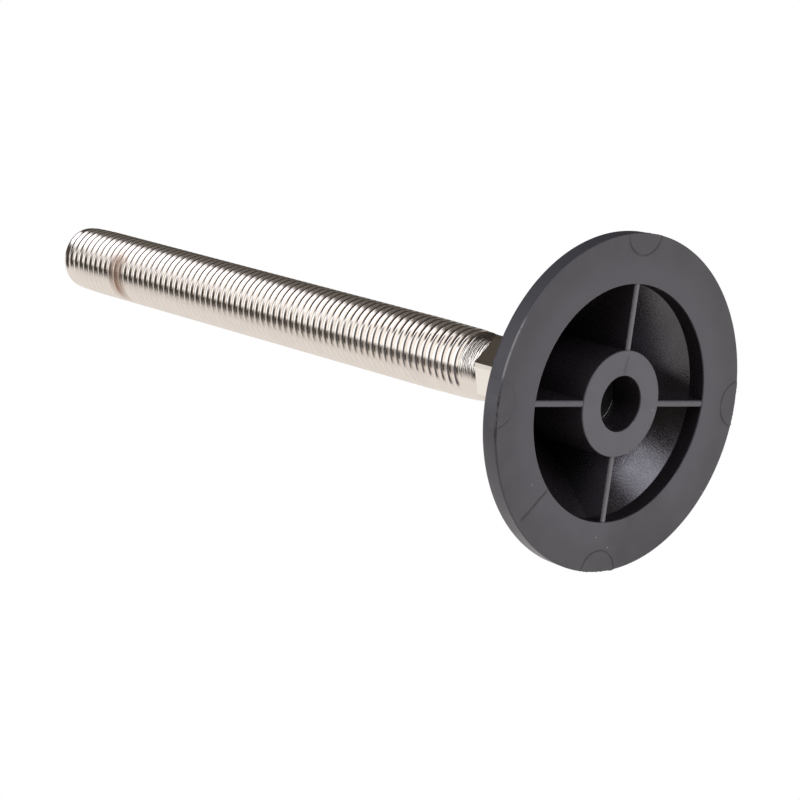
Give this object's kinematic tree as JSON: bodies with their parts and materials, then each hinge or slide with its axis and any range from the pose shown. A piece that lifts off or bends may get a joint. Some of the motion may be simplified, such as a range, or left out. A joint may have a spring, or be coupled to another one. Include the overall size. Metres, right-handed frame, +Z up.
{
  "type": "adjustable levelling foot",
  "caption": "Adjustable levelling foot: a threaded steel stud with a spanner hexagon and a ball end that tilts in a round plastic base with a ribbed underside.",
  "frame": {"origin": "centre of the rim's flat face, on the floor that the foot stands on", "axes": "+Z up along the stud to its free end; +X and +Y along two of the ribs under the base"},
  "size_m": [0.07, 0.07, 0.1835],
  "materials": {
    "moulded_plastic": "charcoal grey moulded plastic, matt, with spark-eroded texture inside the hollow",
    "plated_steel": "bright nickel plating with a warm tint on rolled thread"
  },
  "bodies": {
    "base": {"foot": "moulded_plastic"},
    "spindle": {"stud": "plated_steel"}
  },
  "joints": [
    {"name": "ball_tilt", "type": "hinge", "parent": "base", "child": "spindle", "pos_m": [0, 0, 0.0133], "axis": [1, 0, 0], "range_deg": [-10, 10]}
  ]
}
